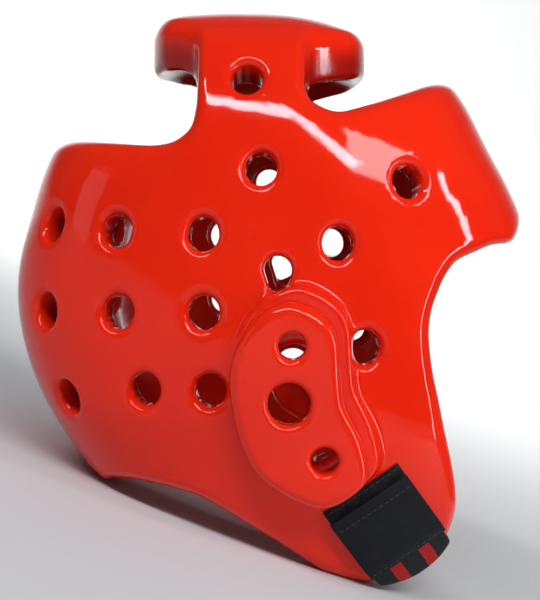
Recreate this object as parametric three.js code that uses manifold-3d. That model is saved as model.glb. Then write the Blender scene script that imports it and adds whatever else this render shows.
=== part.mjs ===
// A dipped foam head guard for contact sports, in millimetres. An open-topped foam shell wraps round the head, a
// crown pad spans it on one neck each side, a bean-shaped pad covers each ear, and a strap passes under the chin.
// It is drawn as worn: x to the front, y to the wearer's left, z up, with the origin on the axis through both ears.
// The finished guard is then tipped back until it stands on its rear rim and both jaw corners.
import * as THREE from "three";
import { mergeVertices } from "three/addons/utils/BufferGeometryUtils.js";
import Module from "manifold-3d";

const wasm = await Module();
wasm.setup();

// The form that the shell is made on.
const shellLength = 248; // back of the head to the brow
const crownHeight = 180; // ear axis to the top of the crown pad
const halfWidth = 93; // middle plane to the outer face over the ear
const boxiness = 2.9; // exponent of the sections: 2 is an ellipse, more is squarer
const jawTaper = 0.17; // share of the width lost down at the jaw
const browTaper = 0.1; // share of the width lost at the brow
const crownFoam = 21; // foam thickness of the crown pad, and of the form's outline in shares of it
const sideFoam = 15; // foam thickness over the ears

// The crown pad and its two necks, seen from above.
const neckWidth = 45;
const neckCentre = -20; // ahead of the ear axis
const crownPadRear = 27; // how far the pad reaches behind its necks
const crownPadFront = 31; // how far it reaches in front of them

// The vents, the keyholes over the ears and the ear openings.
const ventRadius = 7;
const ventStretch = 1.1; // height over width
const ventBevel = 3; // the rounded mouth, modelled as a bevel
const keyholeRadius = 6.2;
const keyholeTail = 3.6; // half the width of the slot below it
const keyholeSlant = 1; // how far the slot's end lies ahead of the hole's centre
const earOpeningShare = 0.58; // the opening through the shell behind the pad, in shares of the pad's outline

// The ear pads.
const earPadHeight = 89.5;
const earPadWidth = 60;
const earPadThickness = 11;
const earPadRound = 4.5; // rounding of its edges
const earHoleRadius = 9.4; // the large sound hole
const earHoleSmallRadius = 6; // the two small ones
const earHoleBevel = 2.5;
const earBossRise = 1.5; // how far the seat under the pad stands out of the shell at its middle
const earBossReach = 2; // how far that seat is grown past the pad's outline
const earBossShift = new THREE.Vector2(3, 4); // forward and up, so that it shows above and in front
const earBossRound = 3;
const earPadCentre = new THREE.Vector2(1.8, -0.5); // ahead of and above the ear axis
const earPadLean = 4; // degrees that the pad's face looks down

// The chin strap and what holds it.
const strapWidth = 38;
const strapThickness = 1.8;
const strapAngle = -55.7; // degrees that it runs down and forward on the jaw
const strapTop = { ahead: 0.1169, above: -0.2153 }; // middle of the pile patch's top edge, in shares as below
const strapTurnRadius = 5; // rounding where it turns under the jaw
const strapStartRight = 6; // from the patch's top edge to the strap's free end
const strapStartLeft = 1; // and to its sewn end on the other jaw
const strapSeatDepth = 0.2; // how far the strap and its patch press into the foam
const strapStepDown = 6; // length over which it comes down once past the patch's end
const patchWidth = 40;
const patchThickness = 1.2;
const patchLength = 32;
const labelWidth = 40;
const labelThickness = 1.2;
const labelStart = 5; // from the top of the pile patch
const labelLength = 34;

const clearance = 0.3;
const earOutlinePoints = 26;
const faceRimPoints = 24;
const boreSides = 12;
const beyond = 200; // well past the guard, for cutters

// The form's outline in the middle plane. ahead is a share of the shell's length, above a share of the crown's
// height, and foam the thickness there as a share of the crown's.
const formOutline = [
  { ahead: -0.256, above: 0.983, foam: 1.0 },
  { ahead: -0.172, above: 0.999, foam: 1.0 },
  { ahead: -0.092, above: 1.0, foam: 1.0 },
  { ahead: 0.007, above: 0.992, foam: 1.0 },
  { ahead: 0.097, above: 0.957, foam: 1.0 },
  { ahead: 0.205, above: 0.892, foam: 1.0 },
  { ahead: 0.299, above: 0.81, foam: 1.03 },
  { ahead: 0.366, above: 0.652, foam: 1.05 },
  { ahead: 0.411, above: 0.538, foam: 1.05 },
  { ahead: 0.44, above: 0.442, foam: 1.0 },
  { ahead: 0.452, above: 0.328, foam: 0.95 },
  { ahead: 0.449, above: 0.174, foam: 0.85 },
  { ahead: 0.43, above: -0.046, foam: 0.75 },
  { ahead: 0.403, above: -0.264, foam: 0.7 },
  { ahead: 0.354, above: -0.454, foam: 0.68 },
  { ahead: 0.265, above: -0.605, foam: 0.68 },
  { ahead: 0.127, above: -0.685, foam: 0.68 },
  { ahead: -0.03, above: -0.686, foam: 0.68 },
  { ahead: -0.185, above: -0.606, foam: 0.7 },
  { ahead: -0.306, above: -0.442, foam: 0.75 },
  { ahead: -0.399, above: -0.23, foam: 0.78 },
  { ahead: -0.448, above: -0.124, foam: 0.8 },
  { ahead: -0.493, above: -0.018, foam: 0.8 },
  { ahead: -0.529, above: 0.12, foam: 0.8 },
  { ahead: -0.543, above: 0.258, foam: 0.8 },
  { ahead: -0.534, above: 0.367, foam: 0.8 },
  { ahead: -0.512, above: 0.477, foam: 0.8 },
  { ahead: -0.482, above: 0.604, foam: 0.82 },
  { ahead: -0.426, above: 0.734, foam: 0.88 },
  { ahead: -0.353, above: 0.86, foam: 0.95 },
];

// The rim seen from the side, in the same shares: the brow, the face opening down to the jaw, and the lower rim back.
const faceRim = [
  { ahead: 0.437, above: 0.437 },
  { ahead: 0.409, above: 0.391 },
  { ahead: 0.364, above: 0.383 },
  { ahead: 0.334, above: 0.368 },
  { ahead: 0.294, above: 0.344 },
  { ahead: 0.272, above: 0.308 },
  { ahead: 0.258, above: 0.268 },
  { ahead: 0.246, above: 0.221 },
  { ahead: 0.241, above: 0.161 },
  { ahead: 0.248, above: 0.074 },
  { ahead: 0.26, above: -0.001 },
  { ahead: 0.272, above: -0.078 },
  { ahead: 0.286, above: -0.157 },
  { ahead: 0.296, above: -0.224 },
  { ahead: 0.3, above: -0.277 },
  { ahead: 0.295, above: -0.32 },
  { ahead: 0.283, above: -0.367 },
  { ahead: 0.262, above: -0.409 },
  { ahead: 0.223, above: -0.45 },
  { ahead: 0.181, above: -0.471 },
  { ahead: 0.136, above: -0.479 },
];
const lowerRim = [
  { ahead: 0.015, above: -0.409 },
  { ahead: -0.039, above: -0.356 },
  { ahead: -0.099, above: -0.304 },
  { ahead: -0.161, above: -0.253 },
  { ahead: -0.2, above: -0.233 },
  { ahead: -0.251, above: -0.218 },
  { ahead: -0.301, above: -0.212 },
  { ahead: -0.336, above: -0.217 },
];
// The two places where the rim meets the ground, and how long the rim is flat there.
const rearFoot = { ahead: -0.378, above: -0.227 };
const jawFoot = { ahead: 0.072, above: -0.453 };
const rearFootLength = 8.6;
const jawFootLength = 12.9;

// The rims of the two top openings seen from the side, each from the shell's end to its neck.
const rearTopRim = [
  { ahead: -0.476, above: 0.655 },
  { ahead: -0.427, above: 0.653 },
  { ahead: -0.356, above: 0.644 },
  { ahead: -0.279, above: 0.634 },
  { ahead: -0.243, above: 0.634 },
  { ahead: -0.215, above: 0.644 },
  { ahead: -0.192, above: 0.669 },
  { ahead: -0.181, above: 0.693 },
  { ahead: -0.173, above: 0.729 },
];
const frontTopRim = [
  { ahead: 0.292, above: 0.819 },
  { ahead: 0.252, above: 0.799 },
  { ahead: 0.212, above: 0.775 },
  { ahead: 0.155, above: 0.745 },
  { ahead: 0.1, above: 0.721 },
  { ahead: 0.082, above: 0.716 },
  { ahead: 0.064, above: 0.719 },
  { ahead: 0.043, above: 0.731 },
  { ahead: 0.024, above: 0.748 },
];

// The crown pad from above. across is a share of the half width; the others say how much of its reach is left there.
const crownPadOutline = [
  { across: 0.0, rear: 1.0, front: 1.0 },
  { across: 0.13, rear: 0.98, front: 0.985 },
  { across: 0.23, rear: 0.91, front: 0.945 },
  { across: 0.32, rear: 0.8, front: 0.87 },
  { across: 0.39, rear: 0.67, front: 0.76 },
  { across: 0.44, rear: 0.5, front: 0.62 },
  { across: 0.49, rear: 0.32, front: 0.44 },
  { across: 0.53, rear: 0.2, front: 0.27 },
  { across: 0.57, rear: 0.11, front: 0.13 },
  { across: 0.63, rear: 0.035, front: 0.035 },
  { across: 0.72, rear: 0.0, front: 0.0 },
];

// The vents of one side, in shares as above; each is bored square to the shell.
const vents = [
  { ahead: -0.087, above: 0.803 },
  { ahead: -0.06, above: 0.575 },
  { ahead: 0.206, above: 0.544 },
  { ahead: 0.078, above: 0.39 },
  { ahead: -0.164, above: 0.412 },
  { ahead: -0.323, above: 0.421 },
  { ahead: -0.45, above: 0.437 },
  { ahead: -0.162, above: 0.219 },
  { ahead: -0.319, above: 0.219 },
  { ahead: -0.462, above: 0.217 },
  { ahead: -0.15, above: 0.028 },
  { ahead: -0.27, above: 0.026 },
  { ahead: -0.421, above: -0.004 },
  { ahead: 0.127, above: 0.134 },
];
const keyhole = { ahead: -0.03, above: 0.323 };

// The ear pad's outline, as shares of its width ahead and of its height above its centre.
const earPadOutline = [
  { ahead: -0.13, above: 0.5 },
  { ahead: -0.295, above: 0.44 },
  { ahead: -0.43, above: 0.32 },
  { ahead: -0.5, above: 0.17 },
  { ahead: -0.49, above: 0.02 },
  { ahead: -0.43, above: -0.16 },
  { ahead: -0.32, above: -0.315 },
  { ahead: -0.16, above: -0.41 },
  { ahead: 0.06, above: -0.485 },
  { ahead: 0.225, above: -0.498 },
  { ahead: 0.39, above: -0.44 },
  { ahead: 0.5, above: -0.36 },
  { ahead: 0.5, above: -0.27 },
  { ahead: 0.445, above: -0.145 },
  { ahead: 0.335, above: 0.0 },
  { ahead: 0.308, above: 0.155 },
  { ahead: 0.29, above: 0.32 },
  { ahead: 0.2, above: 0.43 },
  { ahead: 0.01, above: 0.505 },
];
// Its three sound holes, placed in the same shares.
const earHoles = [
  { ahead: -0.048, above: 0.301, radius: earHoleSmallRadius },
  { ahead: -0.069, above: 0.018, radius: earHoleRadius },
  { ahead: 0.189, above: -0.26, radius: earHoleSmallRadius },
];

const vinyl = new THREE.MeshStandardMaterial({ color: 0xd92410, roughness: 0.14, metalness: 0 });
const webbing = new THREE.MeshStandardMaterial({ color: 0x14161a, roughness: 0.85, metalness: 0 });
const pile = new THREE.MeshStandardMaterial({ color: 0x0d0d0f, roughness: 0.95, metalness: 0 });
const satin = new THREE.MeshStandardMaterial({ color: 0x171c24, roughness: 0.6, metalness: 0 });

const ease = (share) => THREE.MathUtils.smoothstep(share, 0, 1);
const onSide = ({ ahead, above }) => new THREE.Vector2(ahead * shellLength, above * crownHeight);

// The form as bearings round the ear axis, each with its reach and its foam, in rising order.
const stations = formOutline
  .map((row) => {
    const point = onSide(row);
    const bearing = (Math.atan2(point.y, point.x) + 2 * Math.PI) % (2 * Math.PI);
    return { bearing, reach: point.length(), foam: row.foam * crownFoam };
  })
  .sort((a, b) => a.bearing - b.bearing);

// A smooth closed curve through the stations, read at one bearing.
function alongOutline(bearing, key) {
  const turn = 2 * Math.PI;
  const at = ((bearing % turn) + turn) % turn;
  const count = stations.length;
  const station = (index) => {
    const row = stations[(index + count) % count];
    return { bearing: row.bearing + Math.floor(index / count) * turn, value: row[key] };
  };
  let index = stations.findIndex((row) => row.bearing > at);
  index = (index < 0 ? count : index) - 1;
  const [before, from, to, after] = [index - 1, index, index + 1, index + 2].map(station);
  const span = to.bearing - from.bearing;
  const slopeFrom = ((to.value - before.value) / (to.bearing - before.bearing)) * span;
  const slopeTo = ((after.value - from.value) / (after.bearing - from.bearing)) * span;
  const u = (at - from.bearing) / span;
  return (
    (2 * u ** 3 - 3 * u ** 2 + 1) * from.value +
    (u ** 3 - 2 * u ** 2 + u) * slopeFrom +
    (3 * u ** 2 - 2 * u ** 3) * to.value +
    (u ** 3 - u ** 2) * slopeTo
  );
}

// Half the form's width at its widest, which shrinks towards the jaw and the brow.
function widthAt(x, z) {
  const jaw = 1 - jawTaper * ease(-z / (0.55 * crownHeight));
  const brow = 1 - browTaper * ease(x / (0.46 * shellLength));
  return halfWidth * jaw * brow;
}

// How far the shell's outer face lies from the middle plane, at a place seen from the side.
function outerFace(x, z) {
  const share = Math.min(Math.hypot(x, z) / alongOutline(Math.atan2(z, x), "reach"), 1);
  return widthAt(x, z) * (1 - share ** boxiness) ** (1 / boxiness);
}

// The outward direction there, on the wearer's left.
function outerNormal(x, z) {
  const step = 0.5;
  const slopeX = (outerFace(x + step, z) - outerFace(x - step, z)) / (2 * step);
  const slopeZ = (outerFace(x, z + step) - outerFace(x, z - step)) / (2 * step);
  return new THREE.Vector3(-slopeX, 1, -slopeZ).normalize();
}

// A closed geometry from rows of points that are each a ring, with a single point at both ends.
function ringedGeometry(firstPole, rings, lastPole) {
  const points = [firstPole, ...rings.flat(), lastPole];
  const size = rings[0].length;
  const at = (ring, i) => 1 + ring * size + (i % size);
  const faces = [];
  for (let i = 0; i < size; i++) {
    faces.push(0, at(0, i), at(0, i + 1));
    for (let ring = 0; ring < rings.length - 1; ring++) {
      faces.push(at(ring, i), at(ring + 1, i + 1), at(ring, i + 1));
      faces.push(at(ring, i), at(ring + 1, i), at(ring + 1, i + 1));
    }
    faces.push(points.length - 1, at(rings.length - 1, i + 1), at(rings.length - 1, i));
  }
  const geometry = new THREE.BufferGeometry().setFromPoints(points);
  geometry.setIndex(faces);
  return geometry;
}

// The whole form as a solid, inset by the given share of the foam: 0 is its outside and 1 its inside.
function formGeometry(inset) {
  const bearings = 50;
  const belts = 16;
  const narrow = (halfWidth - inset * sideFoam) / halfWidth;
  const rings = [];
  for (let belt = 1; belt < belts; belt++) {
    const turn = -Math.PI / 2 + (belt / belts) * Math.PI;
    const share = Math.cos(turn) ** (2 / boxiness);
    const across = Math.sign(turn) * Math.abs(Math.sin(turn)) ** (2 / boxiness);
    const ring = [];
    for (let i = 0; i < bearings; i++) {
      const bearing = (i / bearings) * 2 * Math.PI;
      const reach = alongOutline(bearing, "reach") - inset * alongOutline(bearing, "foam");
      const x = share * reach * Math.cos(bearing);
      const z = share * reach * Math.sin(bearing);
      ring.push(new THREE.Vector3(x, across * narrow * widthAt(x, z), z));
    }
    rings.push(ring);
  }
  const pole = narrow * halfWidth;
  return ringedGeometry(new THREE.Vector3(0, -pole, 0), rings, new THREE.Vector3(0, pole, 0));
}

function solidFrom(geometry) {
  const bare = geometry.index ? geometry.toNonIndexed() : geometry.clone();
  for (const name of Object.keys(bare.attributes)) {
    if (name !== "position") bare.deleteAttribute(name);
  }
  const merged = mergeVertices(bare, 1e-4);
  const solid = new wasm.Manifold(
    new wasm.Mesh({
      numProp: 3,
      vertProperties: merged.attributes.position.array,
      triVerts: new Uint32Array(merged.index.array),
    }),
  );
  return solid;
}

function geometryFrom(solid) {
  const mesh = solid.getMesh();
  const geometry = new THREE.BufferGeometry();
  geometry.setAttribute("position", new THREE.BufferAttribute(new Float32Array(mesh.vertProperties), 3));
  geometry.setIndex(new THREE.BufferAttribute(new Uint32Array(mesh.triVerts), 1));
  geometry.computeVertexNormals();
  return geometry;
}

// An outline drawn in the side view, pushed through from one y to another.
function sidePrism(points, fromY, toY) {
  const geometry = new THREE.ExtrudeGeometry(new THREE.Shape(points), { depth: toY - fromY, bevelEnabled: false });
  geometry.rotateX(Math.PI / 2); // the drawing's up is now z, and its depth runs towards -y
  geometry.translate(0, toY, 0);
  return solidFrom(geometry);
}

// An outline drawn in the view from above, pushed up from the ear axis.
function topPrism(points) {
  return solidFrom(new THREE.ExtrudeGeometry(new THREE.Shape(points), { depth: 2 * beyond, bevelEnabled: false }));
}

const smooth = (points, count) => new THREE.SplineCurve(points).getPoints(count);

// The ground as worn: the line under both feet, its slope, and the flat stretch of rim on each foot.
const rearGround = onSide(rearFoot);
const jawGround = onSide(jawFoot);
const groundLine = jawGround.clone().sub(rearGround);
const groundSlope = -Math.atan2(groundLine.y, groundLine.x);
groundLine.normalize();
const footEnd = (foot, distance) => foot.clone().addScaledVector(groundLine, distance);

// Everything in front of and below the shell: the face opening and the neck.
function faceAndNeckCutter() {
  const outline = [
    new THREE.Vector2(beyond, faceRim[0].above * crownHeight),
    ...smooth(faceRim.map(onSide), faceRimPoints),
    footEnd(jawGround, jawFootLength / 2),
    footEnd(jawGround, -jawFootLength / 2),
    ...smooth(lowerRim.map(onSide), 12),
    footEnd(rearGround, rearFootLength / 2),
    footEnd(rearGround, -beyond),
    new THREE.Vector2(-2 * beyond, -beyond),
    new THREE.Vector2(beyond, -beyond),
  ];
  return sidePrism(outline, -beyond, beyond);
}

// The opening behind the crown pad (towards -1) or in front of it (towards 1).
function topOpeningCutter(towards) {
  const rim = smooth((towards < 0 ? rearTopRim : frontTopRim).map(onSide), 16);
  const neckEdge = neckCentre + (towards * neckWidth) / 2;
  const sideOutline = [
    new THREE.Vector2(towards * beyond, rim[0].y),
    ...rim,
    new THREE.Vector2(neckEdge, rim[rim.length - 1].y + neckWidth / 8),
    new THREE.Vector2(neckEdge, 2 * crownHeight),
    new THREE.Vector2(towards * beyond, 2 * crownHeight),
  ];
  const reach = towards < 0 ? crownPadRear : crownPadFront;
  const padEdge = smooth(
    crownPadOutline.map((row) => {
      const share = towards < 0 ? row.rear : row.front;
      return new THREE.Vector2(neckEdge + towards * share * reach, row.across * halfWidth);
    }),
    16,
  );
  const topOutline = [
    new THREE.Vector2(towards * beyond, -beyond),
    new THREE.Vector2(neckEdge - towards, -beyond),
    ...padEdge
      .slice(1)
      .reverse()
      .map((point) => new THREE.Vector2(point.x, -point.y)),
    ...padEdge,
    new THREE.Vector2(neckEdge - towards, beyond),
    new THREE.Vector2(towards * beyond, beyond),
  ];
  return sidePrism(sideOutline, -beyond, beyond).intersect(topPrism(topOutline));
}

// A hole's cutter along its own y, with its mouth at the origin and a bevel round the mouth.
function boreGeometry(radius, depth, bevel) {
  const profile = [
    new THREE.Vector2(0, -depth),
    new THREE.Vector2(radius, -depth),
    new THREE.Vector2(radius, -bevel),
    new THREE.Vector2(radius + bevel, bevel / 3),
    new THREE.Vector2(radius + 3 * bevel, 3 * bevel),
    new THREE.Vector2(0, 3 * bevel),
  ];
  return new THREE.LatheGeometry(profile, boreSides);
}

// A bored hole square to the shell at a place seen from the side, with a bevelled mouth; side is -1 right, 1 left.
function ventCutter({ ahead, above }, side) {
  const place = onSide({ ahead, above });
  const out = outerNormal(place.x, place.y);
  out.y *= side;
  const across = new THREE.Vector3(0, 0, 1).cross(out).normalize();
  const up = out.clone().cross(across);
  const geometry = boreGeometry(ventRadius, 2.2 * crownFoam, ventBevel);
  const stretched = up.clone().multiplyScalar(-ventStretch);
  geometry.applyMatrix4(new THREE.Matrix4().makeBasis(across, out, stretched));
  geometry.translate(place.x, side * outerFace(place.x, place.y), place.y);
  return solidFrom(geometry);
}

// The drop-shaped hole over the ear, whose tail runs down to the ear pad.
function keyholeCutter(side) {
  const top = onSide(keyhole);
  const tailEnd = earPadCentre.y + earPadHeight / 2 + earBossReach;
  const outline = new THREE.Shape();
  outline.moveTo(top.x + keyholeSlant - keyholeTail, tailEnd);
  outline.lineTo(top.x + keyholeSlant + keyholeTail, tailEnd);
  outline.lineTo(top.x + keyholeRadius, top.y);
  outline.absarc(top.x, top.y, keyholeRadius, 0, Math.PI, false);
  const near = side < 0 ? -beyond : halfWidth / 2;
  return sidePrism(outline.getPoints(8), near, near + beyond - halfWidth / 2);
}

// The ear pad's outline round its own centre, grown by a distance; side mirrors it for the left ear.
function earOutline(grow, side, shift = new THREE.Vector2()) {
  const curve = new THREE.CatmullRomCurve3(
    earPadOutline.map((row) => new THREE.Vector3(row.ahead * earPadWidth, row.above * earPadHeight, 0)),
    true,
  );
  const outline = [];
  for (let i = 0; i < earOutlinePoints; i++) {
    const point = curve.getPointAt(i / earOutlinePoints);
    const along = curve.getTangentAt(i / earOutlinePoints);
    const ahead = point.x + along.y * grow + shift.x;
    outline.push(new THREE.Vector2(-side * ahead, point.y - along.x * grow + shift.y));
  }
  return outline;
}

// The ear pad's place on one side: its own z looks out of the head, from the face of its boss.
function earFrame(side) {
  const place = new THREE.Object3D();
  place.rotation.set(Math.PI / 2 + THREE.MathUtils.degToRad(earPadLean), 0, side < 0 ? 0 : Math.PI, "ZXY");
  place.position.set(earPadCentre.x, side * (halfWidth + earBossRise), earPadCentre.y);
  place.updateMatrix();
  return place.matrix;
}

// A slab with rounded edges from one height to another in the ear pad's own frame.
function roundedSlab(outline, from, to, round) {
  const geometry = new THREE.ExtrudeGeometry(new THREE.Shape(outline), {
    depth: to - from - 2 * round,
    bevelThickness: round,
    bevelSize: round,
    bevelOffset: -round,
    bevelSegments: 2,
  });
  return geometry.translate(0, 0, from + round);
}

// The raised seat of the ear pad, rooted in the middle of the foam.
function earBoss(side) {
  const outline = earOutline(earBossReach, side, earBossShift);
  const geometry = roundedSlab(outline, -sideFoam, 0, earBossRound);
  return solidFrom(geometry.applyMatrix4(earFrame(side)));
}

function earOpeningCutter(side) {
  const outline = earOutline(0, side).map((point) => point.multiplyScalar(earOpeningShare));
  const shape = new THREE.Shape(outline);
  const geometry = new THREE.ExtrudeGeometry(shape, { depth: 3 * sideFoam, bevelEnabled: false });
  geometry.translate(0, 0, -2.7 * sideFoam);
  return solidFrom(geometry.applyMatrix4(earFrame(side)));
}

function earPadGeometry(side) {
  const outline = earOutline(0, side);
  let pad = solidFrom(roundedSlab(outline, clearance, clearance + earPadThickness, earPadRound));
  for (const { ahead, above, radius } of earHoles) {
    const bore = boreGeometry(radius, 2 * earPadThickness, earHoleBevel);
    bore.rotateX(Math.PI / 2);
    bore.translate(-side * ahead * earPadWidth, above * earPadHeight, clearance + earPadThickness);
    pad = pad.subtract(solidFrom(bore));
  }
  return geometryFrom(pad);
}

// The strap's run on the jaw: along is measured down it from the patch's top, across towards the face.
const strapOrigin = onSide(strapTop);
const strapDown = new THREE.Vector2(
  Math.cos(THREE.MathUtils.degToRad(strapAngle)),
  Math.sin(THREE.MathUtils.degToRad(strapAngle)),
);
const strapForward = new THREE.Vector2(-strapDown.y, strapDown.x);
const jawRim = [...smooth(faceRim.map(onSide), faceRimPoints), footEnd(jawGround, jawFootLength / 2)];
const onJaw = (along, across) =>
  strapOrigin.clone().addScaledVector(strapDown, along).addScaledVector(strapForward, across);

// How far down its run the strap meets the jaw's rim, at one place across its width.
function rimAlong(across) {
  const start = onJaw(0, across);
  for (let i = 1; i < jawRim.length; i++) {
    const [a, b] = [jawRim[i - 1].clone().sub(start), jawRim[i].clone().sub(start)];
    const [sideA, sideB] = [a.dot(strapForward), b.dot(strapForward)];
    const along = (a.dot(strapDown) * sideB - b.dot(strapDown) * sideA) / (sideB - sideA);
    if (sideA * sideB <= 0 && along > 0) return along;
  }
  return strapOrigin.distanceTo(jawRim[jawRim.length - 1]);
}

// A point of the shell's outer face under the strap, with the outward direction there.
function onShell(side, along, across) {
  const { x, y: z } = onJaw(along, across);
  const out = outerNormal(x, z);
  out.y *= side;
  return { point: new THREE.Vector3(x, side * outerFace(x, z), z), out };
}

// Where the strap leaves the jaw's face to turn under the rim, and the slope of its way there.
function turnStart(side, across) {
  const bottom = rimAlong(across) + clearance;
  const down = new THREE.Vector3(strapDown.x, 0, strapDown.y);
  const slope = Math.asin(onShell(side, bottom - strapTurnRadius, across).out.dot(down));
  return { along: bottom - strapTurnRadius * (1 - Math.sin(slope)), slope, down };
}

// A point of the rounded turn to the stretch under the chin; share runs from 0 at its start to 1.
function roundJaw(side, share, across) {
  const { along, slope, down } = turnStart(side, across);
  const facing = (angle) => new THREE.Vector3(0, side * Math.cos(angle), 0).addScaledVector(down, Math.sin(angle));
  const centre = onShell(side, along, across).point.addScaledVector(facing(slope), -strapTurnRadius);
  const out = facing(THREE.MathUtils.lerp(slope, Math.PI / 2, share));
  return { point: centre.addScaledVector(out, strapTurnRadius), out };
}

// A point on the jaw's face, or on the turn where the run is past it.
function roundShell(side, along, across) {
  const start = turnStart(side, across);
  const turned = (along - start.along) / (strapTurnRadius * (Math.PI / 2 - start.slope));
  return turned < 0 ? onShell(side, along, across) : roundJaw(side, Math.min(turned, 1), across);
}

// A sheet laid along a run of places, which each give a point and its outward direction for any across.
// Its inner and outer faces lie at those distances from the points.
function sheetGeometry(places, width, inner, outer) {
  const columns = 4;
  const rings = places.map((place) => {
    const faceAt = (height) => {
      const row = [];
      for (let i = 0; i <= columns; i++) {
        const { point, out, lift = 0 } = place((i / columns - 0.5) * width);
        row.push(point.clone().addScaledVector(out, height + lift));
      }
      return row;
    };
    return [...faceAt(outer), ...faceAt(inner).reverse()];
  });
  const middle = (ring) => ring.reduce((sum, point) => sum.add(point), new THREE.Vector3()).divideScalar(ring.length);
  return ringedGeometry(middle(rings[0]), rings, middle(rings[rings.length - 1]));
}

// The places down one side of the jaw, from one distance along the run to another.
function jawPlaces(side, from, to, count) {
  const places = [];
  for (let i = 0; i <= count; i++) {
    const along = THREE.MathUtils.lerp(from, to, i / count);
    places.push((across) => roundShell(side, along, across));
  }
  return places;
}

// The places of the whole strap, from its free end on the right jaw round to its sewn end on the left. There it may
// be raised by some distance as far as the patch reaches.
function strapPlaces(startRight, startLeft, raise) {
  const half = (side, from) => {
    const rows = 10;
    const places = [];
    for (let i = 0; i < rows; i++) {
      places.push((across) => {
        const along = THREE.MathUtils.lerp(from, turnStart(side, across).along, i / rows);
        const lift = side < 0 ? raise * (1 - ease((along - patchLength - patchThickness) / strapStepDown)) : 0;
        return { ...onShell(side, along, across), lift };
      });
    }
    const turns = 4;
    for (let i = 0; i <= turns; i++) {
      places.push((across) => roundJaw(side, i / turns, across));
    }
    return places;
  };
  return [...half(-1, startRight), ...half(1, startLeft).reverse()];
}

function shellGeometry() {
  let shell = solidFrom(formGeometry(0)).subtract(solidFrom(formGeometry(1)));
  for (const cutter of [faceAndNeckCutter(), topOpeningCutter(-1), topOpeningCutter(1)]) {
    shell = shell.subtract(cutter);
  }
  for (const side of [-1, 1]) {
    for (const vent of vents) {
      shell = shell.subtract(ventCutter(vent, side));
    }
    shell = shell.subtract(keyholeCutter(side)).add(earBoss(side)).subtract(earOpeningCutter(side));
  }
  const seat = strapPlaces(-clearance, strapStartLeft - clearance, 0);
  const strapSeat = sheetGeometry(seat, Math.max(strapWidth, patchWidth) + 2 * clearance, -strapSeatDepth, 2 * sideFoam);
  return geometryFrom(shell.subtract(solidFrom(strapSeat)));
}

function piece(name, geometry, material) {
  const mesh = new THREE.Mesh(geometry, material);
  mesh.name = name;
  return mesh;
}

const guard = new THREE.Group();
guard.add(piece("foam_shell", shellGeometry(), vinyl));
for (const [name, side] of [["ear_pad_right", -1], ["ear_pad_left", 1]]) {
  const pad = piece(name, earPadGeometry(side), vinyl);
  pad.applyMatrix4(earFrame(side));
  guard.add(pad);
}
// On the jaw the patch, the strap and the label lie on each other, each a clearance above the last.
const patchFace = clearance + patchThickness;
const strapFace = patchFace + clearance + strapThickness;
const patchPlaces = jawPlaces(-1, 0, patchLength, 9);
const labelPlaces = jawPlaces(-1, labelStart, labelStart + labelLength, 8);
const beltPlaces = strapPlaces(strapStartRight, strapStartLeft, patchFace);
const patch = sheetGeometry(patchPlaces, patchWidth, clearance, patchFace);
const strap = sheetGeometry(beltPlaces, strapWidth, clearance, clearance + strapThickness);
const labelBack = strapFace + clearance;
const label = sheetGeometry(labelPlaces, labelWidth, labelBack, labelBack + labelThickness);
guard.add(piece("loop_patch", patch, pile));
guard.add(piece("chin_strap", strap, webbing));
guard.add(piece("strap_label", label, satin));

// Tip the guard back onto its feet and centre it over the origin.
guard.rotation.y = -groundSlope;
const bounds = new THREE.Box3().setFromObject(guard, true);
const middle = bounds.getCenter(new THREE.Vector3());
guard.position.set(-middle.x, -middle.y, -bounds.min.z);

const model = new THREE.Group();
model.add(guard);
export default model;
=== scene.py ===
"""A dipped foam head guard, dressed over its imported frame.

Shapes are worked out in millimetres as the guard is worn: x to the front, y to the wearer's left, z up,
from the axis through both ears. Each finished shape is then tipped back onto its feet and written in
metres.
"""

import math

import bpy
import numpy as np
from mathutils import Matrix, Vector


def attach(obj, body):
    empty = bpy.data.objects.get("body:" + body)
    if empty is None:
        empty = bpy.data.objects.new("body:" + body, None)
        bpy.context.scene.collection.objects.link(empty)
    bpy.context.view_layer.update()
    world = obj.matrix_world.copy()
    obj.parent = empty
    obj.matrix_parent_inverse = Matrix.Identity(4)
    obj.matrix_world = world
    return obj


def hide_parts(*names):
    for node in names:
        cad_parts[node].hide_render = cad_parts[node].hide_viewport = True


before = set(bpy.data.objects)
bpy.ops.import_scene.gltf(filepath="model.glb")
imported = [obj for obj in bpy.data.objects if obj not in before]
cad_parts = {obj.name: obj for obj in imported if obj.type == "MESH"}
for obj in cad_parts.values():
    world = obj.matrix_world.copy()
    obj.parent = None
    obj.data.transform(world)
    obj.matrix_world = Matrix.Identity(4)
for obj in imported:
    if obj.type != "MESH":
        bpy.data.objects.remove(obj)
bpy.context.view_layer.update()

# The form that the shell is made on.
SHELL_LENGTH = 248.0
CROWN_HEIGHT = 180.0
HALF_WIDTH = 93.0
BOXINESS = 2.9
JAW_TAPER = 0.17
JAW_TAPER_REACH = 0.55 * CROWN_HEIGHT
BROW_TAPER = 0.1
BROW_TAPER_REACH = 0.46 * SHELL_LENGTH
CROWN_FOAM = 21.0
SIDE_FOAM = 15.0

# The crown pad and its necks.
NECK_WIDTH = 45.0
NECK_CENTRE = -20.0
CROWN_PAD_REAR = 27.0
CROWN_PAD_FRONT = 31.0

# Openings, and the rounding that the dip leaves on their edges.
RIM_ROUND = 5.5
TOP_RIM_ROUND = 6.0
NECK_FILLET = 6.0
VENT_RADIUS = 7.0
VENT_STRETCH = 1.1
VENT_ROUND = 4.0
VENT_REACH_OUT = 30.0
VENT_REACH_IN = 46.0
KEYHOLE_RADIUS = 6.2
KEYHOLE_TAIL = 3.6
KEYHOLE_ROUND = 3.2
EAR_OPENING_SHARE = 0.58
EAR_OPENING_REACH = 40.0
EAR_OPENING_ROUND = 3.5

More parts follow.
